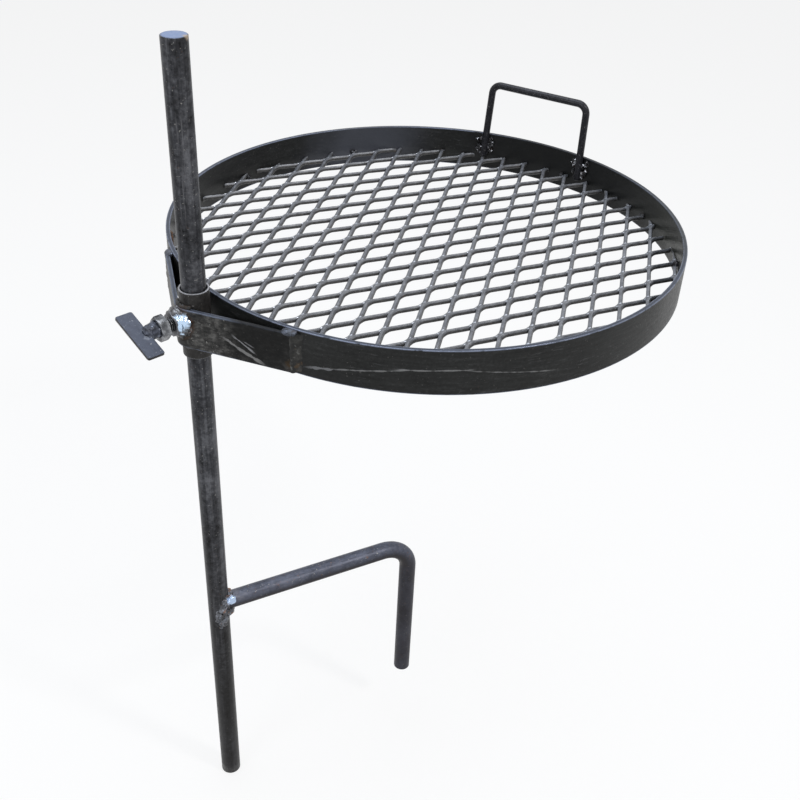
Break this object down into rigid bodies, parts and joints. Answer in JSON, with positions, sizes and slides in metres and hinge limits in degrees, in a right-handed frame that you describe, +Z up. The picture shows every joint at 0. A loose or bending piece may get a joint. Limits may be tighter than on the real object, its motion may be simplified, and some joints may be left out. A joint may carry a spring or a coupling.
{
  "type": "swivel campfire grill on a ground stake",
  "caption": "Round expanded-metal grill in a rolled ring that swings and slides on a ground stake, locked by a T-bar bolt, with an anchor leg that stops the stake turning.",
  "frame": {"origin": "on the stake's axis at ground level", "axes": "+Z up along the stake, +X from the stake to the middle of the cooking ring"},
  "size_m": [0.7053, 0.6096, 1.016],
  "materials": {
    "bar_scale": "hot-rolled mill scale, streaked along the bar",
    "leg_scale": "hot-rolled mill scale with rust specks",
    "tube_scale": "dark brown mill scale",
    "strap_scale": "mill scale in brown and grey patches, scratched",
    "ring_scale": "near-black mill scale, scratched",
    "mesh_steel": "bare raised expanded metal, bright at the knuckles",
    "rod_scale": "near-black mill scale",
    "weld_steel": "raw weld bead with heat tint",
    "bolt_steel": "bright plain steel",
    "flat_scale": "slate-grey mill scale"
  },
  "bodies": {
    "anchor": {"anchor_leg": "leg_scale", "anchor_leg_weld": "weld_steel"},
    "stake": {"stake": "bar_scale"},
    "grill": {"sleeve": "tube_scale", "yoke_strap": "strap_scale", "ring": "ring_scale", "ring_seam_weld": "weld_steel", "grate": "mesh_steel", "grate_tack_welds": "weld_steel", "handle": "rod_scale", "handle_weld_left": "weld_steel", "handle_weld_right": "weld_steel", "strap_end_weld_left": "weld_steel", "strap_end_weld_right": "weld_steel", "strap_top_weld_left": "weld_steel", "strap_top_weld_right": "weld_steel", "sleeve_weld_upper": "weld_steel", "sleeve_weld_lower": "weld_steel", "clamp_nut": "bolt_steel", "clamp_nut_weld": "weld_steel"},
    "clamp_bolt": {"clamp_bolt_shank": "bolt_steel"},
    "t_handle": {"clamp_bolt_head": "bolt_steel", "t_bar": "flat_scale", "t_bar_weld": "weld_steel"}
  },
  "joints": [
    {"name": "grill_swivel", "type": "hinge", "parent": "anchor", "child": "stake", "pos_m": [0, 0, 0], "axis": [0, 0, 1], "continuous": true},
    {"name": "grill_height", "type": "slide", "parent": "stake", "child": "grill", "axis": [0, 0, 1], "range_m": [-0.345, 0.247]},
    {"name": "bolt_advance", "type": "slide", "parent": "grill", "child": "clamp_bolt", "axis": [-1, 0, 0], "range_m": [0, 0.0047]},
    {"name": "t_handle_turn", "type": "hinge", "parent": "clamp_bolt", "child": "t_handle", "pos_m": [-0.05, 0, 0.4225], "axis": [-1, 0, 0], "range_deg": [0, 720]}
  ],
  "couplings": [
    {"joint": "bolt_advance", "follows": "t_handle_turn", "m_per_rad": 0.00036749}
  ]
}
